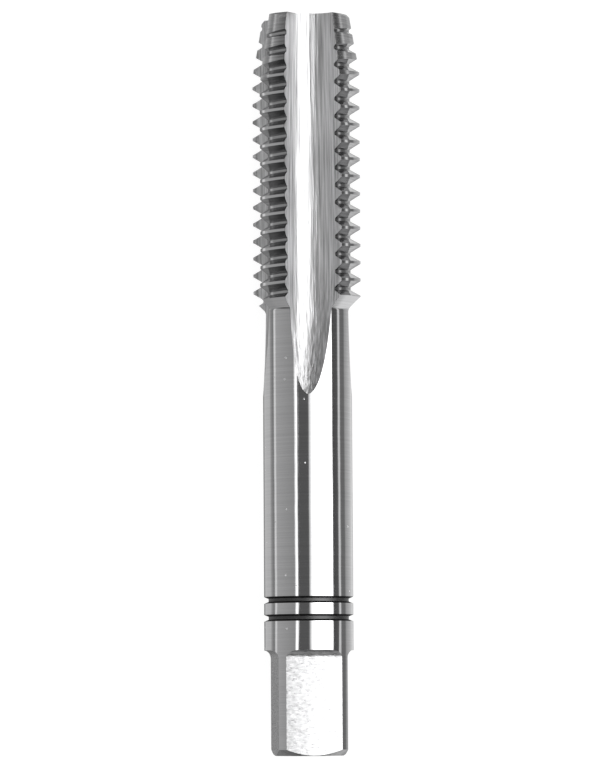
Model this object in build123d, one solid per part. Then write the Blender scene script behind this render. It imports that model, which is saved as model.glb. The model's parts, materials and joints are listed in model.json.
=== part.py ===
from build123d import *
import os
from math import acos, atan2, ceil, cos, degrees, radians, sin, sqrt, tan

# Hand tap for M12 x 1.75 right-hand threads: the second, intermediate tap of a set of three,
# marked as such by two rings round its shank. It is one piece of hardened steel with a threaded,
# four-fluted cutting part, a plain round shank and a driving square.
#
# The tap is modelled along +Z, with its front face at Z = 0 and its square at the top. +X points
# out through the middle of the first flute's circle. lay_down() then turns it on its side, as it
# comes to rest. All sizes are in millimetres and degrees.

# Whole tool
overall_length = 75.0

# Thread: a 60 degree profile, with a narrow flat on its crests and in its roots. At the first
# cutting edge, a crest lies crest_station behind the front face.
crest_diameter = 11.7
pitch = 1.75
flank_angle = 30.0
crest_flat = 0.27
root_flat = 0.29
thread_length = 28.8
crest_station = 8.27
back_cone_angle = 48.0
back_fillet = 0.6

# Flutes: ground by a formed wheel, with a round hook for a face and a straight, opened heel that
# leans by heel_angle from the flute's middle line. flute_length is at full depth, before the wheel
# runs out through the shank. It lifts out at flute_lift_angle from the middle line, so that the
# run-out's tip lies nearer to the cutting edge.
flute_count = 4
core_diameter = 5.6
flute_radius = 2.8
heel_angle = 33.0
flute_length = 24.15
flute_wheel_radius = 60.0
flute_lift_angle = 23.0

# Lead: the tapered first threads, backed off behind each cutting edge
lead_front_diameter = 9.65
lead_angle = 10.0
lead_relief_angle = 5.0
front_edge_chamfer = 0.28

# Shank and its rings
shank_diameter = 9.0
ring_count = 2
ring_spacing = 1.8
ring_to_end = 13.85
ring_mouth = 0.68
ring_floor = 0.3
ring_depth = 0.45

# Driving square: four flats that end in the corner radius of the cutter. square_turn is from the
# middle of a flute to the middle of a flat.
square_width = 7.0
square_length = 9.8
square_runout_radius = 0.8
square_turn = -1.8

# Rear end, and the centre holes that the tool was turned and ground between
end_face_diameter = 6.84
end_chamfer_angle = 30.0
centre_pilot_diameter = 1.0
centre_pilot_depth = 2.2
centre_mouth_diameter = 2.12
centre_half_angle = 30.0

# How far a cutting shape reaches past the surface that it cuts
overcut = 1.0
groove_overcut = 0.15

# Worked out from the sizes above
crest_radius = crest_diameter / 2
shank_radius = shank_diameter / 2
thread_depth = (pitch - crest_flat - root_flat) / 2 / tan(radians(flank_angle))
root_radius = crest_radius - thread_depth
back_cone_end = thread_length + (crest_radius - shank_radius) / tan(radians(back_cone_angle))
flute_centre = core_diameter / 2 + flute_radius
flute_spacing = 360.0 / flute_count
square_shoulder = overall_length - square_length - square_runout_radius


def across(radius, angle):
    """The point at this radius and angle, in the plane across the tap."""
    return Vector(radius * cos(radians(angle)), radius * sin(radians(angle)))


def cutting_edge_angle(lift=Vector(0, 0)):
    """Angle from a flute's middle to its cutting edge, where its circle meets the crests.

    The lift is how far the flute's section has moved out of its place at full depth.
    """
    centre = Vector(flute_centre, 0) + lift
    opening = (crest_radius**2 + centre.dot(centre) - flute_radius**2) / (2 * crest_radius * centre.length)
    return degrees(atan2(centre.Y, centre.X) + acos(opening))


def heel_start():
    """Point where the straight heel leaves the flute's circle, tangent to it."""
    return Vector(flute_centre, 0) + across(flute_radius, -90 - heel_angle)


def heel_point(radius, lift=Vector(0, 0)):
    """Point of the straight heel at this radius from the axis of the tap."""
    start = heel_start() + lift
    outwards = across(1, -heel_angle)
    middle = start.dot(outwards)
    return start + outwards * (sqrt(middle**2 + radius**2 - start.dot(start)) - middle)


def heel_edge_angle(lift=Vector(0, 0)):
    """Angle from a flute's middle to the edge of its heel, at the crests."""
    edge = heel_point(crest_radius, lift)
    return degrees(atan2(edge.Y, edge.X))


def flute_lift(height):
    """How far the flute's section has moved out at this height, past the end of the full depth."""
    fall = sqrt(flute_wheel_radius**2 - (height - flute_length) ** 2)
    return across(flute_wheel_radius - fall, flute_lift_angle)


def profile(*points):
    """The face inside an outline of (radius, height) points, in the plane of the tap's axis."""
    return make_face(Plane.XZ * Polyline(*points, close=True))


def round_corner(face, radius, height, fillet_radius):
    """The face with its corner nearest to this radius and height rounded."""
    corner = face.vertices().sort_by_distance(Vector(radius, 0, height))[0]
    return fillet(corner, fillet_radius)


def round_the_tap(shape, count, first_angle=0):
    """Copies of a shape, spaced evenly round the tap's axis."""
    return [Rot(Z=first_angle + i * 360 / count) * shape for i in range(count)]


def blank():
    """The turned blank: the thread's outside, its back cone, the shank and the end chamfer."""
    end_radius = end_face_diameter / 2
    end_chamfer = (shank_radius - end_radius) * tan(radians(end_chamfer_angle))
    outline = profile(
        (0, 0),
        (crest_radius, 0),
        (crest_radius, thread_length),
        (shank_radius, back_cone_end),
        (shank_radius, overall_length - end_chamfer),
        (end_radius, overall_length),
        (0, overall_length),
    )
    outline = round_corner(outline, shank_radius, back_cone_end, back_fillet)
    return revolve(outline, Axis.Z)


def groove_turn(start):
    """The four edges of one turn of the thread groove, whose middle starts at this height."""
    mouth_radius = crest_radius + groove_overcut
    mouth_half = (pitch - crest_flat) / 2 + groove_overcut * tan(radians(flank_angle))
    corners = [
        (root_radius, -root_flat / 2),
        (root_radius, root_flat / 2),
        (mouth_radius, mouth_half),
        (mouth_radius, -mouth_half),
    ]
    return [Helix(pitch, pitch, radius, center=(0, 0, start + offset)) for radius, offset in corners]


def thread_groove():
    """The thread's cutting shape: the space between two crests, wound right-hand round the tap."""
    first_start = crest_station % pitch - pitch / 2 - pitch
    turn_count = ceil(back_cone_end / pitch) + 2
    turns = [groove_turn(first_start + i * pitch) for i in range(turn_count)]
    walls = [Face.make_surface_from_curves(turn[i - 1], turn[i]) for turn in turns for i in range(4)]
    first_end = make_face(Polyline(*[edge @ 0 for edge in turns[0]], close=True)).face()
    last_end = make_face(Polyline(*[edge @ 1 for edge in turns[-1]], close=True)).face()
    return Rot(Z=cutting_edge_angle()) * Solid(Shell([*walls, first_end, last_end]))


def lead_relief():
    """What is ground off the outside of one land to form its lead.

    The ground cone's axis lies beside the tap's own, so the lead falls away behind the cutting
    edge, and the first threads cut freely.
    """
    land_start = cutting_edge_angle()
    land_middle = (land_start + flute_spacing + heel_edge_angle()) / 2
    cone_axis = across(crest_radius * tan(radians(lead_relief_angle)), land_middle - 90)
    cone_radius = (across(lead_front_diameter / 2, land_start) - cone_axis).length
    full_radius = crest_radius + cone_axis.length
    slope = tan(radians(lead_angle))
    reach = (full_radius - cone_radius) / slope
    outline = profile(
        (cone_radius - overcut * slope, -overcut),
        (full_radius + overcut, -overcut),
        (full_radius + overcut, reach),
        (full_radius, reach),
    )
    return Pos(cone_axis) * Rot(Z=land_middle - flute_spacing / 2) * revolve(outline, Axis.Z, flute_spacing)


def front_chamfer():
    """The small chamfer round the front face."""
    front_radius = lead_front_diameter / 2
    outline = profile(
        (front_radius - front_edge_chamfer - overcut, -overcut),
        (front_radius + overcut, -overcut),
        (front_radius + overcut, front_edge_chamfer + overcut),
    )
    return revolve(outline, Axis.Z)


def flute():
    """The cut of the flute wheel on +X: straight along the thread, then out through the shank."""
    outer = flute_centre + flute_radius
    hook = ThreePointArc((outer, 0), (core_diameter / 2, 0), heel_start())
    heel = Polyline(heel_start(), heel_point(outer), (outer, 0))
    section = Pos(0, 0, flute_length) * make_face(hook + heel)
    straight = extrude(section, flute_length + overcut, dir=(0, 0, -1))
    lift = across(1, flute_lift_angle)
    depth = lift.X * flute_centre - flute_radius
    wheel_centre = lift * (depth + flute_wheel_radius) + Vector(0, 0, flute_length)
    wheel_axis = Axis(wheel_centre, (-lift.Y, lift.X, 0))
    rise = shank_radius + overcut - depth
    return straight + revolve(section, wheel_axis, degrees(acos(1 - rise / flute_wheel_radius)))


def ring():
    """The cut of one marking ring, at Z = 0."""
    floor_radius = shank_radius - ring_depth
    outer_half = ring_mouth / 2 + overcut * (ring_mouth - ring_floor) / 2 / ring_depth
    outline = profile(
        (floor_radius, -ring_floor / 2),
        (shank_radius + overcut, -outer_half),
        (shank_radius + overcut, outer_half),
        (floor_radius, ring_floor / 2),
    )
    return revolve(outline, Axis.Z)


def square_flat():
    """The cut of one flat of the driving square, on +X, with its rounded run-out."""
    flat = square_width / 2
    outline = profile(
        (flat, square_shoulder),
        (shank_radius + overcut, square_shoulder),
        (shank_radius + overcut, overall_length + overcut),
        (flat, overall_length + overcut),
    )
    outline = round_corner(outline, flat, square_shoulder, square_runout_radius)
    return extrude(outline, shank_radius + overcut, both=True)


def centre_hole():
    """The cut of the front centre hole: a 60 degree seat for a centre and its pilot bore."""
    pilot_radius = centre_pilot_diameter / 2
    mouth_radius = centre_mouth_diameter / 2
    slope = tan(radians(centre_half_angle))
    outline = profile(
        (0, -overcut),
        (mouth_radius + overcut * slope, -overcut),
        (pilot_radius, (mouth_radius - pilot_radius) / slope),
        (pilot_radius, centre_pilot_depth),
        (0, centre_pilot_depth + pilot_radius * slope),
    )
    return revolve(outline, Axis.Z)


def tap():
    """The whole tap, standing on its front face."""
    rings = [Pos(0, 0, overall_length - ring_to_end - i * ring_spacing) * ring() for i in range(ring_count)]
    body = blank() - thread_groove()
    body -= round_the_tap(lead_relief(), flute_count)
    body -= front_chamfer()
    body -= round_the_tap(flute(), flute_count)
    body -= rings
    body -= round_the_tap(square_flat(), 4, square_turn)
    body -= centre_hole()
    body -= Pos(0, 0, overall_length) * Rot(X=180) * centre_hole()
    return body


def resting_edges():
    """Angles of the two land edges that the tap rests on, at the rear end of its thread."""
    lift = flute_lift(thread_length)
    return cutting_edge_angle(lift), heel_edge_angle(lift)


def resting_plane():
    """Where the standing tap's axes go when it lies down: its front towards +Y, its rear to -Y.

    It comes to rest on the two land edges beside one flute and on the bottom of its shank, so
    the middle between a flute's edges points straight up, and the front is tilted up a little.
    """
    cutting_edge, heel_edge = resting_edges()
    half_opening = radians((cutting_edge - heel_edge) / 2)
    tilt = atan2(crest_radius * cos(half_opening) - shank_radius, square_shoulder - thread_length)
    return Plane(origin=(0, 0, 0), x_dir=(0, -sin(tilt), cos(tilt)), z_dir=(0, -cos(tilt), -sin(tilt)))


def lay_down(shape):
    """The shape at rest on its side, on Z = 0, with the origin under the middle of its bounds."""
    flute_middle = sum(resting_edges()) / 2
    lying = resting_plane().location * Rot(Z=-flute_middle) * shape
    box = lying.bounding_box()
    return Pos(-box.center().X, -box.center().Y, -box.min.Z) * lying


os.makedirs("parts", exist_ok=True)
tap_body = lay_down(tap())
export_step(tap_body, "parts/tap_body.step")
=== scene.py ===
"""Dresses the resting hand tap: its threaded, fluted and ground steel, the studio and the camera.

The tap is modelled standing on its front face, on +Z, with the middle of its first flute on +X,
and is then laid where its mounts say that it lies. It is cut as the real one is: a turned blank
is threaded, its lead is backed off, its flutes are ground out, and its rings, its square and its
centre holes follow. Each cut leaves its own finish on the steel.

Sizes are in millimetres and degrees, and the meshes are in metres.
"""

from __future__ import annotations

import json
import logging
import math
from collections.abc import Sequence
from dataclasses import dataclass, field
from enum import Enum

import bpy
from mathutils import Matrix, Vector

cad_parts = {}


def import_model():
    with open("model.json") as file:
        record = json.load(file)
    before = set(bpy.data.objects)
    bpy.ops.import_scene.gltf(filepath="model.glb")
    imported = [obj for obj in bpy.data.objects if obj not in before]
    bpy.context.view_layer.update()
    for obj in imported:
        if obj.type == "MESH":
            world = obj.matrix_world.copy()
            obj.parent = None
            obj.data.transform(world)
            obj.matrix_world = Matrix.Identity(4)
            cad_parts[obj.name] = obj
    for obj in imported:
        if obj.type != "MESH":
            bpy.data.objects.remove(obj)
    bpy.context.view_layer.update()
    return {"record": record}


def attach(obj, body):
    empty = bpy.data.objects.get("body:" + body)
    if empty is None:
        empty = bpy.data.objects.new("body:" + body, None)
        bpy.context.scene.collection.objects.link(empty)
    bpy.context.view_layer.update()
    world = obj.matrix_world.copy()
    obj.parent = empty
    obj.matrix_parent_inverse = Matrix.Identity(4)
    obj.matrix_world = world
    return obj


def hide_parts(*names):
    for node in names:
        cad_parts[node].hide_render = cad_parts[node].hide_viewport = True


MM = 0.001
MICROMETRE = 1e-6
NOISE_MIDDLE = 0.5
LOG = logging.getLogger("tap")

Point2 = tuple[float, float]
Point3 = tuple[float, float, float]


class Finish(Enum):
    """The ground surfaces of the tap, by the wheel that made each."""

    SHANK = "cylindrical_grind"
    THREAD = "thread_grind"
    FLUTE = "flute_grind"
    LEAD = "lead_grind"
    SQUARE = "square_grind"
    RING = "turned_groove"
    END = "faced_end"


# ---------------------------------------------------------------------------------------------
# Modelling helpers
# ---------------------------------------------------------------------------------------------


def polar(radius: float, angle: float) -> Point2:
    """Returns the point at this radius and angle, in degrees, across the tap."""
    turn = math.radians(angle)
    return radius * math.cos(turn), radius * math.sin(turn)


def arc(centre: Point2, radius: float, start: float, end: float, steps: int) -> list[Point2]:
    """Returns the points of an arc.

    Args:
        centre: Middle of the arc's circle.
        radius: The circle's radius.
        start: Angle of the first point, in degrees.
        end: Angle of the last point, in degrees.
        steps: Number of runs in the arc.

    Returns:
        steps + 1 points, from start to end.
    """
    points = []
    for i in range(steps + 1):
        x, y = polar(radius, start + (end - start) * i / steps)
        points.append((centre[0] + x, centre[1] + y))
    return points


def in_profile(points: Sequence[Point2]) -> list[Vector]:
    """Returns (radius, height) points as places in the plane of the tap's axis, in metres."""
    return [Vector((radius, 0.0, height)) * MM for radius, height in points]


def in_section(points: Sequence[Point2], height: float) -> list[Vector]:
    """Returns (x, y) points as places in the plane across the tap at this height, in metres."""
    return [Vector((x, y, height)) * MM for x, y in points]


def activate(item: bpy.types.Object) -> None:
    """Selects an object alone and makes it the active one.

    Args:
        item: The object.
    """
    bpy.ops.object.select_all(action="DESELECT")
    item.select_set(True)
    bpy.context.view_layer.objects.active = item


class Outline(Enum):
    """What a traced outline is left as."""

    CHAIN = "an open chain of edges"
    LOOP = "a closed loop of edges"
    FACE = "a face"


def trace(name: str, places: Sequence[Vector], outcome: Outline) -> bpy.types.Object:
    """Draws an outline by pulling one vertex from place to place.

    Args:
        name: Name of the new object.
        places: The outline's corners, in order.
        outcome: What the outline is left as.

    Returns:
        The new object, active, in edit mode, with all of it selected.
    """
    bpy.ops.object.select_all(action="DESELECT")
    bpy.ops.mesh.primitive_plane_add(size=MM, location=places[0])
    outline = bpy.context.object
    outline.name = name
    bpy.ops.object.transform_apply(location=True, rotation=False, scale=False)
    bpy.ops.object.mode_set(mode="EDIT")
    bpy.ops.mesh.select_all(action="SELECT")
    bpy.ops.mesh.merge(type="CENTER")
    for before, after in zip(places, places[1:]):
        step = after - before
        bpy.ops.mesh.extrude_vertices_move(TRANSFORM_OT_translate={"value": tuple(step)})
    bpy.ops.mesh.select_all(action="SELECT")
    if outcome is not Outline.CHAIN:
        bpy.ops.mesh.edge_face_add()
    if outcome is Outline.LOOP:
        bpy.ops.mesh.delete(type="ONLY_FACE")
        bpy.ops.mesh.select_all(action="SELECT")
    return outline


def close_up(solid: bpy.types.Object, merge_distance: float = 1e-7) -> bpy.types.Object:
    """Merges doubles, fills open ends and turns every face outwards.

    Args:
        solid: The object to close, in edit mode.
        merge_distance: How near two vertices are when they are the same, in metres.

    Returns:
        The closed object, in object mode.
    """
    bpy.ops.mesh.select_all(action="SELECT")
    bpy.ops.mesh.remove_doubles(threshold=merge_distance)
    bpy.ops.mesh.select_all(action="DESELECT")
    bpy.ops.mesh.select_non_manifold()
    bpy.ops.mesh.fill_holes(sides=0)
    bpy.ops.mesh.select_all(action="SELECT")
    bpy.ops.mesh.normals_make_consistent(inside=False)
    bpy.ops.object.mode_set(mode="OBJECT")
    return solid


def turned(
    name: str,
    outline: Sequence[Point2],
    segments: int,
    angle: float = 360.0,
    outcome: Outline = Outline.LOOP,
) -> bpy.types.Object:
    """Turns an outline round the tap's axis.

    Args:
        name: Name of the new object.
        outline: (radius, height) points, in millimetres.
        segments: Steps in the turn.
        angle: How far the outline turns, in degrees, starting on +X.
        outcome: A chain that starts and ends on the axis, a loop off the axis that is turned all
            the way, or a face that is turned part of the way.

    Returns:
        The closed solid.
    """
    solid = trace(name, in_profile(outline), outcome)
    bpy.ops.mesh.spin(
        steps=segments, angle=math.radians(angle), center=(0.0, 0.0, 0.0), axis=(0.0, 0.0, -1.0)
    )
    return close_up(solid)


def turn_round(tool: bpy.types.Object, angle: float) -> None:
    """Turns an object round the tap's axis, with its place kept in its mesh."""
    tool.matrix_world = Matrix.Rotation(math.radians(angle), 4, "Z") @ tool.matrix_world
    settle(tool)


def raise_by(tool: bpy.types.Object, height: float) -> None:
    """Moves an object along the tap's axis, with its place kept in its mesh."""
    tool.matrix_world = Matrix.Translation((0.0, 0.0, height * MM)) @ tool.matrix_world
    settle(tool)


def settle(item: bpy.types.Object) -> None:
    """Puts an object's place, turn and scale into its mesh."""
    activate(item)
    bpy.ops.object.transform_apply(location=True, rotation=True, scale=True)


def copied(tool: bpy.types.Object) -> bpy.types.Object:
    """Copies an object.

    Args:
        tool: The object to copy.

    Returns:
        The copy, with a mesh of its own.
    """
    activate(tool)
    bpy.ops.object.duplicate(linked=False)
    return bpy.context.object


def coat(item: bpy.types.Object, material: bpy.types.Material) -> None:
    """Gives all of an object one material."""
    item.data.materials.clear()
    item.data.materials.append(material)


def cut(body: bpy.types.Object, tool: bpy.types.Object, finish: bpy.types.Material) -> None:
    """Cuts a tool's shape from the body, and leaves a finish on the cut faces.

    Args:
        body: The object that is cut.
        tool: The cutting shape, which is used up.
        finish: The material of the cut faces.
    """
    coat(tool, finish)
    activate(body)
    bpy.ops.object.modifier_add(type="BOOLEAN")
    step = body.modifiers[-1]
    step.operation = "DIFFERENCE"
    step.solver = "MANIFOLD"
    step.material_mode = "TRANSFER"
    step.object = tool
    bpy.ops.object.modifier_apply(modifier=step.name)
    bpy.data.objects.remove(tool)


def cut_round(
    body: bpy.types.Object,
    tool: bpy.types.Object,
    finish: bpy.types.Material,
    count: int,
    first: float = 0.0,
) -> None:
    """Cuts a tool's shape from the body several times, evenly round the axis.

    Args:
        body: The object that is cut.
        tool: The cutting shape, which is used up.
        finish: The material of the cut faces.
        count: How many cuts.
        first: Angle of the first cut, in degrees.
    """
    for i in range(count):
        again = copied(tool)
        turn_round(again, first + i * 360.0 / count)
        cut(body, again, finish)
    bpy.data.objects.remove(tool)


# ---------------------------------------------------------------------------------------------
# Node helpers
# ---------------------------------------------------------------------------------------------


def grey(level: float) -> tuple[float, float, float, float]:
    """Returns a neutral colour of this linear level."""
    return level, level, level, 1.0


@dataclass(frozen=True)
class Wires:
    """Adds nodes to a tree and joins them up."""

    tree: bpy.types.NodeTree

    def add(self, kind: str, **inputs: object) -> bpy.types.Node:
        """Adds a node.

        Args:
            kind: The node's type.
            inputs: Values or sockets for its inputs, by the input's name, with _ for a space.

        Returns:
            The new node.
        """
        node = self.tree.nodes.new(kind)
        for name, value in inputs.items():
            self.feed(node.inputs[name.replace("_", " ")], value)
        return node

    def feed(self, socket: bpy.types.NodeSocket, value: object) -> None:
        """Links a socket to an input, or sets the input to a plain value.

        Args:
            socket: The input.
            value: The output socket to link, or the plain value.
        """
        if isinstance(value, bpy.types.NodeSocket):
            self.tree.links.new(value, socket)
        else:
            socket.default_value = value

    def math(self, operation: str, *values: object) -> bpy.types.NodeSocket:
        """Adds a Math node.

        Args:
            operation: What it works out.
            values: Numbers or sockets for its inputs, in order.

        Returns:
            Its result.
        """
        node = self.tree.nodes.new("ShaderNodeMath")
        node.operation = operation
        for socket, value in zip(node.inputs, values):
            self.feed(socket, value)
        return node.outputs["Value"]

    def group(self, tree: bpy.types.NodeTree, *values: float) -> bpy.types.NodeSocket:
        """Adds a shared effect.

        Args:
            tree: The effect's group.
            values: Numbers for its inputs, in order.

        Returns:
            Its result.
        """
        node = self.tree.nodes.new("ShaderNodeGroup")
        node.node_tree = tree
        for socket, value in zip(node.inputs, values):
            socket.default_value = value
        return node.outputs[0]

    def blend(self, factor: object, first: object, second: object) -> bpy.types.NodeSocket:
        """Blends two values by a factor from 0 to 1 and returns the result."""
        away = self.math("SUBTRACT", 1.0, factor)
        return self.math("MULTIPLY_ADD", factor, second, self.math("MULTIPLY", away, first))

    def ramp(self, factor: object, stops: Sequence[Point2]) -> bpy.types.NodeSocket:
        """Adds a Color Ramp of greys.

        Args:
            factor: Where along the ramp the colour is taken.
            stops: (position, level) of each stop, in order.

        Returns:
            The ramp's colour.
        """
        node = self.add("ShaderNodeValToRGB", Fac=factor)
        marks = node.color_ramp.elements
        while len(marks) > 1:
            marks.remove(marks[-1])
        marks[0].position = stops[0][0]
        marks[0].color = grey(stops[0][1])
        for position, level in stops[1:]:
            marks.new(position).color = grey(level)
        return node.outputs["Color"]

    def step(self, value: object, start: float, end: float) -> bpy.types.NodeSocket:
        """Adds a smooth step from 0 to 1.

        Args:
            value: The value that goes in.
            start: The value where the step begins, with 0.
            end: The value where it ends, with 1.

        Returns:
            The step's result.
        """
        node = self.add("ShaderNodeMapRange", Value=value, From_Min=start, From_Max=end)
        node.interpolation_type = "SMOOTHSTEP"
        return node.outputs["Result"]

    def mix(self, factor: object, first: object, second: object) -> bpy.types.NodeSocket:
        """Adds a colour Mix node.

        Args:
            factor: How much of the second colour there is, from 0 to 1.
            first: The first colour.
            second: The second colour.

        Returns:
            The mixed colour.
        """
        node = self.tree.nodes.new("ShaderNodeMix")
        node.data_type = "RGBA"
        sockets = [s for s in node.inputs if s.enabled]
        for socket, value in zip(sockets, (factor, first, second)):
            self.feed(socket, value)
        return next(s for s in node.outputs if s.enabled)


# ---------------------------------------------------------------------------------------------
# The tap
# ---------------------------------------------------------------------------------------------


@dataclass(frozen=True)
class Thread:
    """The ground thread: a 60 degree profile with narrow crests and roots.

    At the first cutting edge, a crest lies crest_station behind the front face. The groove's middle
    runs on behind the thread by groove_run_on, so that the groove ends in the air of a flute.
    """

    crest_diameter: float = 11.7
    pitch: float = 1.75
    flank_angle: float = 30.0
    crest_flat: float = 0.27
    root_flat: float = 0.29
    root_bevel: float = 0.05
    length: float = 28.8
    crest_station: float = 8.27
    groove_run_on: float = 0.34
    overcut: float = 0.15
    steps_per_turn: int = 192

    @property
    def crest_radius(self) -> float:
        """Radius of the crests."""
        return self.crest_diameter / 2

    @property
    def root_radius(self) -> float:
        """Radius of the roots."""
        depth = (self.pitch - self.crest_flat - self.root_flat) / 2
        return self.crest_radius - depth / math.tan(math.radians(self.flank_angle))

    def groove(self, first_edge: float) -> bpy.types.Object:
        """Winds the thread's groove right-hand round the tap, from before its front face.

        Args:
            first_edge: Angle of the cutting edge where a crest lies at crest_station.

        Returns:
            The groove's cutting shape.
        """
        slope = math.tan(math.radians(self.flank_angle))
        mouth_half = (self.pitch - self.crest_flat) / 2 + self.overcut * slope
        mouth = self.crest_radius + self.overcut
        root_half = self.root_flat / 2
        rise = self.root_bevel * math.cos(math.radians(self.flank_angle))
        out = self.root_bevel * math.sin(math.radians(self.flank_angle))
        # The groove lies half a pitch from the crests, and starts a pitch early, before the front.
        start = self.crest_station % self.pitch - 1.5 * self.pitch
        turns = (self.length + self.groove_run_on - start) / self.pitch
        section = [
            (mouth, -mouth_half),
            (self.root_radius + rise, -root_half - out),
            (self.root_radius, -root_half + self.root_bevel / 2),
            (self.root_radius, root_half - self.root_bevel / 2),
            (self.root_radius + rise, root_half + out),
            (mouth, mouth_half),
        ]
        places = in_profile([(radius, start + height) for radius, height in section])
        helix = trace("thread_groove", places, Outline.LOOP)
        bpy.ops.object.mode_set(mode="OBJECT")
        bpy.ops.object.modifier_add(type="SCREW")
        screw = helix.modifiers[-1]
        screw.axis = "Z"
        screw.angle = math.tau * turns
        screw.screw_offset = self.pitch * turns * MM
        screw.steps = round(self.steps_per_turn * turns)
        screw.render_steps = screw.steps
        bpy.ops.object.modifier_apply(modifier=screw.name)
        bpy.ops.object.mode_set(mode="EDIT")
        bpy.ops.mesh.select_all(action="SELECT")
        bpy.ops.mesh.quads_convert_to_tris(quad_method="FIXED")
        close_up(helix)
        turn_round(helix, first_edge)
        return helix


@dataclass(frozen=True)
class Flutes:
    """The four straight flutes, each with a round hook and a straight, opened heel.

    The heel leans by heel_angle from the flute's middle line. A flute is at full depth over its
    length, and then the wheel lifts out through the shank, at lift_angle from the middle line.
    """

    count: int = 4
    core_diameter: float = 5.6
    radius: float = 2.8
    heel_angle: float = 33.0
    length: float = 24.15
    wheel_radius: float = 60.0
    lift_angle: float = 23.0
    overcut: float = 1.0
    hook_steps: int = 56
    runout_steps: int = 40

    @property
    def centre(self) -> float:
        """Distance from the tap's axis to the middle of a flute's circle."""
        return self.core_diameter / 2 + self.radius

    def cutting_edge_angle(self, radius: float) -> float:
        """Returns the angle from a flute's middle to its cutting edge at this radius."""
        opening = (radius**2 + self.centre**2 - self.radius**2) / (2 * radius * self.centre)
        return math.degrees(math.acos(opening))

    def heel_point(self, radius: float) -> Point2:
        """Finds a point of the straight heel of the flute on +X.

        Args:
            radius: The point's distance from the tap's axis.

        Returns:
            The point, across the tap.
        """
        x, y = polar(self.radius, -90.0 - self.heel_angle)
        start = Vector((self.centre + x, y))
        outwards = Vector(polar(1.0, -self.heel_angle))
        middle = start.dot(outwards)
        run = math.sqrt(middle**2 + radius**2 - start.dot(start)) - middle
        edge = start + outwards * run
        return edge.x, edge.y

    def heel_edge_angle(self, radius: float) -> float:
        """Returns the angle from a flute's middle to the edge of its heel at this radius."""
        x, y = self.heel_point(radius)
        return math.degrees(math.atan2(y, x))

    def cutter(self, shank_radius: float) -> bpy.types.Object:
        """Makes the cut of the flute wheel on +X, with its run-out through the shank.

        Args:
            shank_radius: Radius that the wheel has to leave at the end of its cut.

        Returns:
            The flute's cutting shape.
        """
        outer = self.centre + self.radius
        hook = arc((self.centre, 0.0), self.radius, 0.0, 270.0 - self.heel_angle, self.hook_steps)
        section = [*hook, self.heel_point(outer)]
        solid = trace("flute", in_section(section, -self.overcut), Outline.FACE)
        straight = (self.length + self.overcut) * MM
        bpy.ops.mesh.extrude_region_move(TRANSFORM_OT_translate={"value": (0.0, 0.0, straight)})
        lift = Vector(polar(1.0, self.lift_angle))
        depth = lift.x * self.centre - self.radius
        rise = shank_radius + self.overcut - depth
        middle = lift * (depth + self.wheel_radius)
        bpy.ops.mesh.spin(
            steps=self.runout_steps,
            angle=math.acos(1 - rise / self.wheel_radius),
            center=Vector((middle.x, middle.y, self.length)) * MM,
            axis=(lift.y, -lift.x, 0.0),
        )
        return close_up(solid)


@dataclass(frozen=True)
class Lead:
    """The tapered first threads, backed off by relief_angle behind each cutting edge."""

    front_diameter: float = 9.65
    angle: float = 10.0
    relief_angle: float = 5.0
    edge_chamfer: float = 0.28
    overcut: float = 1.0
    segments: int = 48

    def relief(self, thread: Thread, flutes: Flutes) -> bpy.types.Object:
        """Makes what is ground off one land, round an axis beside the tap's own.

        Args:
            thread: The thread that the lead cuts back.
            flutes: The flutes that bound each land.

        Returns:
            The cutting shape over the first land.
        """
        spacing = 360.0 / flutes.count
        land_start = flutes.cutting_edge_angle(thread.crest_radius)
        land_middle = (land_start + spacing + flutes.heel_edge_angle(thread.crest_radius)) / 2
        offset = thread.crest_radius * math.tan(math.radians(self.relief_angle))
        axis = Vector(polar(offset, land_middle - 90.0))
        edge = Vector(polar(self.front_diameter / 2, land_start))
        cone_radius = (edge - axis).length
        full_radius = thread.crest_radius + offset
        slope = math.tan(math.radians(self.angle))
        outline = [
            (cone_radius - self.overcut * slope, -self.overcut),
            (full_radius + self.overcut, -self.overcut),
            (full_radius + self.overcut, (full_radius - cone_radius) / slope),
            (full_radius, (full_radius - cone_radius) / slope),
        ]
        ring = turned("lead_relief", outline, self.segments, spacing, Outline.FACE)
        turn_round(ring, land_middle - spacing / 2)
        ring.location = (axis.x * MM, axis.y * MM, 0.0)
        settle(ring)
        return ring

    def front_chamfer(self, segments: int) -> bpy.types.Object:
        """Makes the cut of the small chamfer round the front face.

        Args:
            segments: Steps in the chamfer's turn.

        Returns:
            The chamfer's cutting shape.
        """
        radius = self.front_diameter / 2
        outline = [
            (radius - self.edge_chamfer - self.overcut, -self.overcut),
            (radius + self.overcut, -self.overcut),
            (radius + self.overcut, self.edge_chamfer + self.overcut),
        ]
        return turned("front_chamfer", outline, segments)


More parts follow.
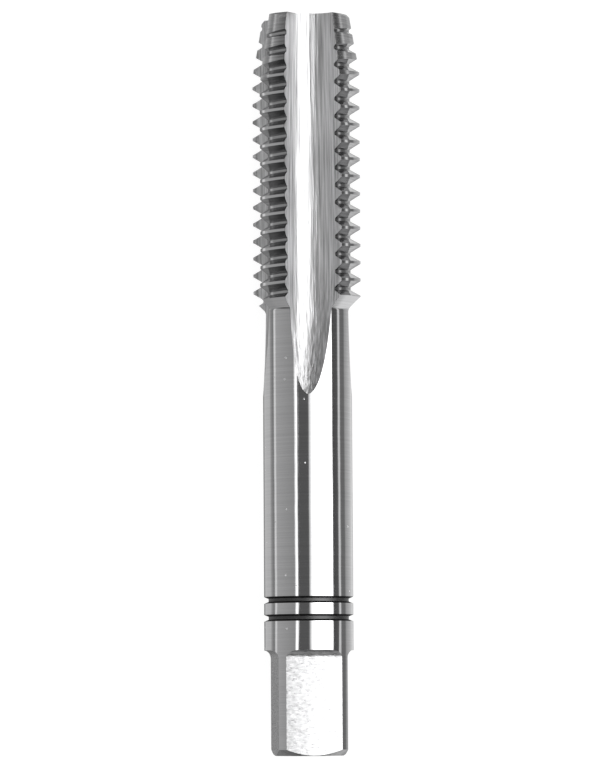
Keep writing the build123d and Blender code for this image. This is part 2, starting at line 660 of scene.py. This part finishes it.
@dataclass(frozen=True)
class Shank:
    """The round shank, with its marking rings, its end chamfer and the thread's back cone.

    The back cone's angle is from the tap's axis, and the end chamfer's is from the end face. The
    first ring is ring_to_end before the end face. Faces within end_margin of height 0 belong to
    the front face.
    """

    length: float = 75.0
    diameter: float = 9.0
    ring_count: int = 2
    ring_spacing: float = 1.8
    ring_to_end: float = 13.85
    ring_mouth: float = 0.68
    ring_floor: float = 0.3
    ring_depth: float = 0.45
    end_face_diameter: float = 6.84
    end_chamfer_angle: float = 30.0
    back_cone_angle: float = 48.0
    back_fillet: float = 0.6
    end_margin: float = 0.01
    overcut: float = 1.0
    segments: int = 192
    fillet_steps: int = 8

    @property
    def radius(self) -> float:
        """Radius of the shank."""
        return self.diameter / 2

    @property
    def end_chamfer_start(self) -> float:
        """Height where the end chamfer begins."""
        drop = self.radius - self.end_face_diameter / 2
        return self.length - drop * math.tan(math.radians(self.end_chamfer_angle))

    def back_cone_end(self, thread: Thread) -> float:
        """Returns the height where the thread's back cone meets the shank."""
        drop = thread.crest_radius - self.radius
        return thread.length + drop / math.tan(math.radians(self.back_cone_angle))

    def blank(self, thread: Thread) -> bpy.types.Object:
        """Turns the blank: the thread's outside, its back cone, the shank and the end chamfer.

        Args:
            thread: The thread that the blank is turned for.

        Returns:
            The blank, standing on its front face.
        """
        reach = self.back_fillet * math.tan(math.radians(self.back_cone_angle / 2))
        fillet_end = self.back_cone_end(thread) + reach
        fillet = arc(
            (self.radius + self.back_fillet, fillet_end),
            self.back_fillet,
            180.0 + self.back_cone_angle,
            180.0,
            self.fillet_steps,
        )
        outline = [
            (0.0, 0.0),
            (thread.crest_radius, 0.0),
            (thread.crest_radius, thread.length),
            *fillet,
            (self.radius, self.end_chamfer_start),
            (self.end_face_diameter / 2, self.length),
            (0.0, self.length),
        ]
        return turned("tap_blank", outline, self.segments, outcome=Outline.CHAIN)

    def coat_ends(self, blank: bpy.types.Object, material: bpy.types.Material) -> None:
        """Gives the blank's two end faces and its end chamfer their own material.

        Args:
            blank: The standing blank, in one material.
            material: The material of its ends.
        """
        blank.data.materials.append(material)
        for face in blank.data.polygons:
            if not self.end_margin < face.center.z / MM < self.end_chamfer_start:
                face.material_index = len(blank.data.materials) - 1

    def ring(self) -> bpy.types.Object:
        """Makes the cut of one marking ring.

        Returns:
            The ring's cutting shape, at height 0.
        """
        floor = self.radius - self.ring_depth
        spread = self.overcut * (self.ring_mouth - self.ring_floor) / 2 / self.ring_depth
        outline = [
            (floor, -self.ring_floor / 2),
            (self.radius + self.overcut, -self.ring_mouth / 2 - spread),
            (self.radius + self.overcut, self.ring_mouth / 2 + spread),
            (floor, self.ring_floor / 2),
        ]
        return turned("ring_groove", outline, self.segments)


@dataclass(frozen=True)
class DriveSquare:
    """The driving square: four flats that end in the corner radius of the cutter.

    The turn is from the middle of a flute to the middle of a flat.
    """

    count: int = 4
    width: float = 7.0
    length: float = 9.8
    runout_radius: float = 0.8
    turn: float = -1.8
    overcut: float = 1.0
    runout_steps: int = 10

    def flat(self, shank: Shank) -> bpy.types.Object:
        """Makes the cut of one flat, on +X.

        Args:
            shank: The shank that the square is cut on.

        Returns:
            The flat's cutting shape.
        """
        face = self.width / 2
        shoulder = shank.length - self.length - self.runout_radius
        outer = shank.radius + self.overcut
        runout = arc(
            (face + self.runout_radius, shoulder + self.runout_radius),
            self.runout_radius,
            270.0,
            180.0,
            self.runout_steps,
        )
        outline = [
            (outer, shoulder),
            *runout,
            (face, shank.length + self.overcut),
            (outer, shank.length + self.overcut),
        ]
        places = [place - Vector((0.0, outer * MM, 0.0)) for place in in_profile(outline)]
        solid = trace("square_flat", places, Outline.FACE)
        bpy.ops.mesh.extrude_region_move(
            TRANSFORM_OT_translate={"value": (0.0, 2 * outer * MM, 0.0)}
        )
        return close_up(solid)


@dataclass(frozen=True)
class CentreHole:
    """A 60 degree seat for a centre, with its pilot bore."""

    pilot_diameter: float = 1.0
    pilot_depth: float = 2.2
    mouth_diameter: float = 2.12
    half_angle: float = 30.0
    overcut: float = 1.0
    segments: int = 64

    def cutter(self) -> bpy.types.Object:
        """Makes the cut of the hole in the front face.

        Returns:
            The hole's cutting shape.
        """
        pilot = self.pilot_diameter / 2
        mouth = self.mouth_diameter / 2
        slope = math.tan(math.radians(self.half_angle))
        outline = [
            (0.0, -self.overcut),
            (mouth + self.overcut * slope, -self.overcut),
            (pilot, (mouth - pilot) / slope),
            (pilot, self.pilot_depth),
            (0.0, self.pilot_depth + pilot * slope),
        ]
        return turned("centre_hole", outline, self.segments, outcome=Outline.CHAIN)


@dataclass(frozen=True)
class Rest:
    """Where the tap lies: the middle of its front face, its axis and the face of its square."""

    front: Vector
    forwards: Vector
    flat_normal: Vector

    @staticmethod
    def from_mounts(mounts: Sequence[dict]) -> Rest:
        """Reads the tap's place.

        Args:
            mounts: The record's mounts.

        Returns:
            How the tap lies.
        """
        named = {mount["name"]: mount for mount in mounts}
        thread, flat = named["cutting_thread"], named["square_flat_up"]
        return Rest(Vector(thread["pos_m"]), Vector(thread["axis"]), Vector(flat["axis"]))

    def matrix(self, flat_turn: float) -> Matrix:
        """Works out how the standing tap is laid down.

        Args:
            flat_turn: Angle of the upward flat on the standing tap, in degrees.

        Returns:
            The placement of the standing tap in the frame.
        """
        rear = -self.forwards.normalized()
        up = (self.flat_normal - rear * self.flat_normal.dot(rear)).normalized()
        side = rear.cross(up)
        lying = Matrix((up, side, rear)).transposed().to_4x4()
        standing_turn = Matrix.Rotation(math.radians(-flat_turn), 4, "Z")
        return Matrix.Translation(self.front) @ lying @ standing_turn


@dataclass(frozen=True)
class Tap:
    """The whole tap, in one piece."""

    thread: Thread = field(default_factory=Thread)
    flutes: Flutes = field(default_factory=Flutes)
    lead: Lead = field(default_factory=Lead)
    shank: Shank = field(default_factory=Shank)
    square: DriveSquare = field(default_factory=DriveSquare)
    hole: CentreHole = field(default_factory=CentreHole)
    smooth_angle: float = 12.0
    name: str = "ground_tap"

    def model(self, finishes: dict[Finish, bpy.types.Material]) -> bpy.types.Object:
        """Cuts the tap from its blank, standing on its front face.

        Args:
            finishes: The material that each grinding leaves.

        Returns:
            The standing tap.
        """
        body = self.shank.blank(self.thread)
        coat(body, finishes[Finish.SHANK])
        self.shank.coat_ends(body, finishes[Finish.END])

        groove = self.thread.groove(self.flutes.cutting_edge_angle(self.thread.crest_radius))
        cut(body, groove, finishes[Finish.THREAD])

        relief = self.lead.relief(self.thread, self.flutes)
        cut_round(body, relief, finishes[Finish.LEAD], self.flutes.count)
        chamfer = self.lead.front_chamfer(self.shank.segments)
        cut(body, chamfer, finishes[Finish.END])

        flute = self.flutes.cutter(self.shank.radius)
        cut_round(body, flute, finishes[Finish.FLUTE], self.flutes.count)

        for i in range(self.shank.ring_count):
            ring = self.shank.ring()
            raise_by(ring, self.shank.length - self.shank.ring_to_end - i * self.shank.ring_spacing)
            cut(body, ring, finishes[Finish.RING])

        flat = self.square.flat(self.shank)
        cut_round(body, flat, finishes[Finish.SQUARE], self.square.count, self.square.turn)

        front_hole, rear_hole = self.hole.cutter(), self.hole.cutter()
        rear_hole.matrix_world = Matrix.Rotation(math.pi, 4, "X")
        settle(rear_hole)
        raise_by(rear_hole, self.shank.length)
        for hole in (front_hole, rear_hole):
            cut(body, hole, finishes[Finish.END])
        body.name = self.name
        return body

    def lay_down(self, body: bpy.types.Object, rest: Rest) -> None:
        """Lays the standing tap where its mounts say, with its place in its mesh."""
        body.matrix_world = rest.matrix(self.square.turn)
        settle(body)

    def smooth(self, body: bpy.types.Object) -> None:
        """Smooths the tap's round surfaces and keeps its ground edges crisp."""
        activate(body)
        bpy.ops.object.shade_smooth_by_angle(angle=math.radians(self.smooth_angle))


# ---------------------------------------------------------------------------------------------
# Finishes
# ---------------------------------------------------------------------------------------------


def shared_effect(name: str, inputs: Sequence[str], output: str) -> Wires:
    """Starts a shared effect: a node group with plain numbers going in and one coming out.

    Args:
        name: The group's name.
        inputs: Names of the numbers that go in.
        output: Name of the number that comes out.

    Returns:
        The wires of the new group.
    """
    group = bpy.data.node_groups.new(name, "ShaderNodeTree")
    for given in inputs:
        group.interface.new_socket(given, in_out="INPUT", socket_type="NodeSocketFloat")
    group.interface.new_socket(output, in_out="OUTPUT", socket_type="NodeSocketFloat")
    return Wires(group)


def ground_lines() -> bpy.types.NodeTree:
    """Makes the shared effect of fine lines that a wheel leaves, longer one way than the others.

    Returns:
        A group that puts out a value round 0 that changes over the surface.
    """
    wires = shared_effect("ground_lines", ("Across", "Along", "Up", "Detail"), "Lines")
    given = wires.add("NodeGroupInput").outputs
    place = wires.add("ShaderNodeTexCoord").outputs["Object"]
    density = wires.add("ShaderNodeCombineXYZ", X=given["Across"], Y=given["Along"], Z=given["Up"])
    scaled = wires.add("ShaderNodeVectorMath")
    scaled.operation = "MULTIPLY"
    wires.feed(scaled.inputs[0], place)
    wires.feed(scaled.inputs[1], density.outputs["Vector"])
    noise = wires.add(
        "ShaderNodeTexNoise", Vector=scaled.outputs["Vector"], Scale=1.0, Detail=given["Detail"]
    )
    wires.add("NodeGroupOutput", Lines=wires.math("SUBTRACT", noise.outputs["Fac"], NOISE_MIDDLE))
    return wires.tree


def specks() -> bpy.types.NodeTree:
    """Makes the shared effect of small scattered pits and dust.

    Returns:
        A group that puts out a mask: 1 on a speck, 0 between them.
    """
    wires = shared_effect("specks", ("Density", "Size", "Share"), "Mask")
    given = wires.add("NodeGroupInput").outputs
    place = wires.add("ShaderNodeTexCoord").outputs["Object"]
    cells = wires.add("ShaderNodeTexVoronoi", Vector=place, Scale=given["Density"])
    near = wires.math("LESS_THAN", cells.outputs["Distance"], given["Size"])
    lot = wires.add("ShaderNodeSeparateColor", Color=cells.outputs["Color"])
    chosen = wires.math("LESS_THAN", lot.outputs["Red"], given["Share"])
    wires.add("NodeGroupOutput", Mask=wires.math("MULTIPLY", near, chosen))
    return wires.tree


@dataclass(frozen=True)
class Lines:
    """One set of ground lines.

    Densities are lines to the metre across the tap, along it and upwards. Depth is the height of
    the lines, in micrometres. Tone and gloss are how far they change the colour and the roughness.
    Detail is the number of finer and finer layers in them.
    """

    across: float
    along: float
    up: float
    depth: float
    tone: float = 0.0
    gloss: float = 0.0
    detail: float = 3.0


@dataclass(frozen=True)
class GroundSteel:
    """A ground or turned surface of bare hardened steel.

    Attributes:
        level: How much light the steel gives back.
        roughness: How far it spreads that light.
        lines: The sets of ground lines on it.
        speck_density: Places for a speck, to the metre.
        speck_size: Radius of a speck, as a share of the way between such places.
        speck_share: Share of the places that have a speck.
        speck_level: Level of a speck.
        speck_roughness: Roughness of a speck.
        crown: How far a flat falls off, in micrometres at 1 mm from the crown's middle.
        crown_middle: Where the crown's middle lies across the tap, in millimetres.
        blue: Blue of the steel's grey, as a share of its red and its green.
    """

    level: float
    roughness: float
    lines: tuple[Lines, ...]
    speck_density: float = 900.0
    speck_size: float = 0.14
    speck_share: float = 0.0
    speck_level: float = 0.9
    speck_roughness: float = 0.6
    crown: float = 0.0
    crown_middle: float = 0.0
    blue: float = 1.01

    def build(self, name: str, groups: dict[str, bpy.types.NodeTree]) -> bpy.types.Material:
        """Makes the material.

        Args:
            name: The material's name.
            groups: The shared effects, by name.

        Returns:
            The new material.
        """
        material = bpy.data.materials.new(name)
        material.use_nodes = True
        wires = Wires(material.node_tree)
        shader = material.node_tree.nodes["Principled BSDF"]
        shader.inputs["Metallic"].default_value = 1.0
        tone: object = self.level
        gloss: object = self.roughness
        height: object = 0.0
        for lines in self.lines:
            drawn = wires.group(
                groups["ground_lines"], lines.across, lines.along, lines.up, lines.detail
            )
            height = wires.math("MULTIPLY_ADD", drawn, lines.depth, height)
            # What no line changes stays a plain number on the shader's own socket.
            if lines.tone:
                tone = wires.math("MULTIPLY_ADD", drawn, lines.tone, tone)
            if lines.gloss:
                gloss = wires.math("MULTIPLY_ADD", drawn, lines.gloss, gloss)
        if self.crown:
            place = wires.add("ShaderNodeTexCoord").outputs["Object"]
            across = wires.add("ShaderNodeSeparateXYZ", Vector=place).outputs["X"]
            across = wires.math("SUBTRACT", across, self.crown_middle * MM)
            square = wires.math("MULTIPLY", across, across)
            height = wires.math("MULTIPLY_ADD", square, -self.crown / MM**2, height)
        if self.speck_share:
            spots = wires.group(
                groups["specks"], self.speck_density, self.speck_size, self.speck_share
            )
            tone = wires.blend(spots, tone, self.speck_level)
            gloss = wires.blend(spots, gloss, self.speck_roughness)
        blue = wires.math("MULTIPLY", tone, self.blue)
        colour = wires.add("ShaderNodeCombineColor", Red=tone, Green=tone, Blue=blue)
        bump = wires.add("ShaderNodeBump", Height=height, Strength=1.0, Distance=MICROMETRE)
        wires.feed(shader.inputs["Base Color"], colour.outputs["Color"])
        wires.feed(shader.inputs["Roughness"], gloss)
        wires.feed(shader.inputs["Normal"], bump.outputs["Normal"])
        return material


FINISHES: dict[Finish, GroundSteel] = {
    Finish.SHANK: GroundSteel(
        level=0.57,
        roughness=0.07,
        lines=(
            Lines(150.0, 330.0, 150.0, depth=30.0, detail=1.0),
            Lines(60.0, 9000.0, 60.0, depth=1.0, tone=0.16, gloss=0.06),
        ),
        speck_share=0.2,
        speck_density=1100.0,
        speck_size=0.12,
    ),
    Finish.THREAD: GroundSteel(
        level=0.39,
        roughness=0.11,
        lines=(Lines(400.0, 12000.0, 400.0, depth=1.5, tone=0.4, gloss=0.15),),
    ),
    Finish.FLUTE: GroundSteel(
        level=0.53,
        roughness=0.37,
        lines=(
            Lines(5200.0, 130.0, 5200.0, depth=52.0, tone=1.1, gloss=0.3, detail=4.0),
            Lines(1100.0, 70.0, 1100.0, depth=40.0, tone=0.3),
        ),
    ),
    Finish.LEAD: GroundSteel(
        level=0.53,
        roughness=0.12,
        lines=(Lines(300.0, 5000.0, 300.0, depth=1.5, tone=0.4, gloss=0.15),),
    ),
    Finish.SQUARE: GroundSteel(
        level=0.43,
        roughness=0.3,
        lines=(
            Lines(1700.0, 6500.0, 1700.0, depth=18.0, tone=0.5, gloss=0.3, detail=5.0),
            Lines(1500.0, 2600.0, 1500.0, depth=24.0, tone=0.3),
        ),
        crown=9.0,
        crown_middle=1.0,
    ),
    Finish.RING: GroundSteel(
        level=0.09,
        roughness=0.45,
        lines=(Lines(200.0, 9000.0, 200.0, depth=3.0, tone=0.1),),
    ),
    Finish.END: GroundSteel(
        level=0.32,
        roughness=0.3,
        lines=(Lines(2600.0, 2600.0, 2600.0, depth=6.0, tone=0.4, gloss=0.2),),
    ),
}


def build_finishes() -> dict[Finish, bpy.types.Material]:
    """Makes each finish's material."""
    groups = {"ground_lines": ground_lines(), "specks": specks()}
    return {finish: steel.build(finish.value, groups) for finish, steel in FINISHES.items()}


# ---------------------------------------------------------------------------------------------
# The studio
# ---------------------------------------------------------------------------------------------


@dataclass(frozen=True)
class Panel:
    """A soft panel or a dark gap of the light tent, as seen from the tap.

    Angles run round the tap's length, from straight up (0) towards the camera's right, in degrees.
    """

    start: float
    end: float
    start_level: float
    end_level: float


@dataclass(frozen=True)
class LightTent:
    """What the tap's polished faces mirror: panels and gaps that run along its whole length.

    Attributes:
        panels: What lies squarely beside the tap.
        fade_start: How far along the tap a direction leans where the ends begin to show.
        fade_end: The lean where the ends alone show.
        ends: What lies obliquely before and behind the tap.
        pole_start: The lean where the poles begin to show.
        pole_end: The lean where the poles alone show.
        poles: What lies nearly in line with the tap.
        soft_level: Level of the light that is not mirrored.
        camera_level: Level of what the camera sees beside the floor.
    """

    panels: tuple[Panel, ...] = (
        Panel(-180.0, -168.0, 0.22, 0.26),
        Panel(-156.0, -124.0, 0.7, 0.7),
        Panel(-118.0, -107.0, 0.44, 0.26),
        Panel(-103.0, -99.5, 1.05, 1.05),
        Panel(-96.5, -42.5, 0.55, 0.4),
        Panel(-38.7, -35.3, 2.1, 2.1),
        Panel(-32.8, -6.0, 0.14, 0.14),
        Panel(10.5, 57.0, 3.8, 3.8),
        Panel(59.5, 76.5, 0.1, 0.14),
        Panel(80.0, 83.0, 1.0, 1.0),
        Panel(87.0, 101.0, 0.22, 0.22),
        Panel(106.0, 150.0, 0.5, 1.0),
        Panel(164.0, 180.0, 0.24, 0.22),
    )
    fade_start: float = 0.28
    fade_end: float = 0.5
    ends: tuple[Panel, ...] = (
        Panel(-180.0, -105.0, 0.42, 0.42),
        Panel(-80.0, 70.0, 0.13, 0.13),
        Panel(96.0, 168.0, 1.0, 1.0),
        Panel(176.0, 180.0, 0.5, 0.42),
    )
    pole_start: float = 0.68
    pole_end: float = 0.78
    poles: tuple[Panel, ...] = (
        Panel(-180.0, -160.0, 0.18, 0.2),
        Panel(-146.0, 104.0, 0.46, 0.46),
        Panel(126.0, 139.0, 0.8, 0.8),
        Panel(148.0, 180.0, 0.2, 0.18),
    )
    soft_level: float = 1.0
    camera_level: float = 1.0

    @staticmethod
    def stops(panels: Sequence[Panel]) -> list[Point2]:
        """Works out the ramp that shows some panels.

        Args:
            panels: The panels, in the order of their angles.

        Returns:
            The ramp's (position, level) stops.
        """
        marks = []
        for panel in panels:
            marks.append(((panel.start + 180.0) / 360.0, panel.start_level))
            marks.append(((panel.end + 180.0) / 360.0, panel.end_level))
        return marks

    def build(self) -> None:
        """Makes the world: white for the camera, the panels for mirror rays, soft for the rest."""
        world = bpy.data.worlds.new("light_tent")
        bpy.context.scene.world = world
        world.use_nodes = True
        wires = Wires(world.node_tree)
        wires.tree.nodes.clear()
        direction = wires.add("ShaderNodeTexCoord").outputs["Generated"]
        parts = wires.add("ShaderNodeSeparateXYZ", Vector=direction)
        turn = wires.math("ARCTAN2", parts.outputs["X"], parts.outputs["Z"])
        along = wires.math("MULTIPLY_ADD", turn, 1 / math.tau, 0.5)
        away = wires.math("ABSOLUTE", parts.outputs["Y"])
        sides = wires.ramp(along, self.stops(self.panels))
        ends = wires.ramp(along, self.stops(self.ends))
        mirrored = wires.mix(wires.step(away, self.fade_start, self.fade_end), sides, ends)
        pole = wires.step(away, self.pole_start, self.pole_end)
        mirrored = wires.mix(pole, mirrored, wires.ramp(along, self.stops(self.poles)))
        path = wires.add("ShaderNodeLightPath")
        shown = wires.mix(path.outputs["Is Glossy Ray"], grey(self.soft_level), mirrored)
        shown = wires.mix(path.outputs["Is Camera Ray"], shown, grey(self.camera_level))
        background = wires.add("ShaderNodeBackground", Color=shown)
        wires.add("ShaderNodeOutputWorld", Surface=background.outputs["Background"])


@dataclass(frozen=True)
class Floor:
    """A plain white floor that keeps the tap's soft shadow.

    It glows for the camera alone, and the tap's mirror faces don't see it, because the light tent
    holds all that they mirror.
    """

    size: float = 4000.0
    albedo: float = 0.22
    glow: float = 0.87

    def build(self) -> None:
        bpy.ops.object.select_all(action="DESELECT")
        bpy.ops.mesh.primitive_plane_add(size=self.size * MM, location=(0.0, 0.0, 0.0))
        floor = bpy.context.object
        floor.name = "studio_floor"
        material = bpy.data.materials.new("white_floor")
        material.use_nodes = True
        wires = Wires(material.node_tree)
        wires.tree.nodes.clear()
        matt = wires.add("ShaderNodeBsdfDiffuse", Color=grey(self.albedo))
        seen = wires.add("ShaderNodeLightPath").outputs["Is Camera Ray"]
        glow = wires.add("ShaderNodeEmission", Strength=wires.math("MULTIPLY", seen, self.glow))
        both = wires.add("ShaderNodeAddShader")
        wires.feed(both.inputs[0], matt.outputs["BSDF"])
        wires.feed(both.inputs[1], glow.outputs["Emission"])
        wires.add("ShaderNodeOutputMaterial", Surface=both.outputs["Shader"])
        coat(floor, material)
        floor.visible_glossy = False


@dataclass(frozen=True)
class Viewpoint:
    """The camera, above and a little beside the tap, with the tap's tip up."""

    place: Point3 = (-55.2, -41.13, 455.85)
    target: Point3 = (-0.04, -0.3, 4.95)
    lens: float = 209.0
    sensor: float = 36.0
    clip_start: float = 10.0
    roll: float = -0.46

    def build(self) -> None:
        """Makes the camera and gives it to the scene."""
        place, target = Vector(self.place) * MM, Vector(self.target) * MM
        bpy.ops.object.camera_add(location=place)
        camera = bpy.context.object
        camera.name = "camera"
        back = (place - target).normalized()
        right = Vector((0.0, 1.0, 0.0)).cross(back).normalized()
        turn = Matrix((right, back.cross(right), back)).transposed()
        roll = Matrix.Rotation(math.radians(self.roll), 3, "Z")
        camera.rotation_euler = (turn @ roll).to_euler()
        camera.data.lens = self.lens
        camera.data.sensor_width = self.sensor
        camera.data.clip_start = self.clip_start * MM
        bpy.context.scene.camera = camera


def main() -> None:
    """Builds the tap, the studio and the camera."""
    logging.basicConfig(level=logging.INFO, format="%(name)s: %(message)s")
    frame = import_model()
    finishes = build_finishes()
    tap = Tap()
    body = tap.model(finishes)
    tap.lay_down(body, Rest.from_mounts(frame["record"]["mounts"]))
    tap.smooth(body)
    LOG.info("%s: %d faces", body.name, len(body.data.polygons))
    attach(body, "root")
    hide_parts("tap_body")
    LightTent().build()
    Floor().build()
    Viewpoint().build()
    bpy.context.scene.view_settings.view_transform = "Standard"


if __name__ == "__main__":
    main()
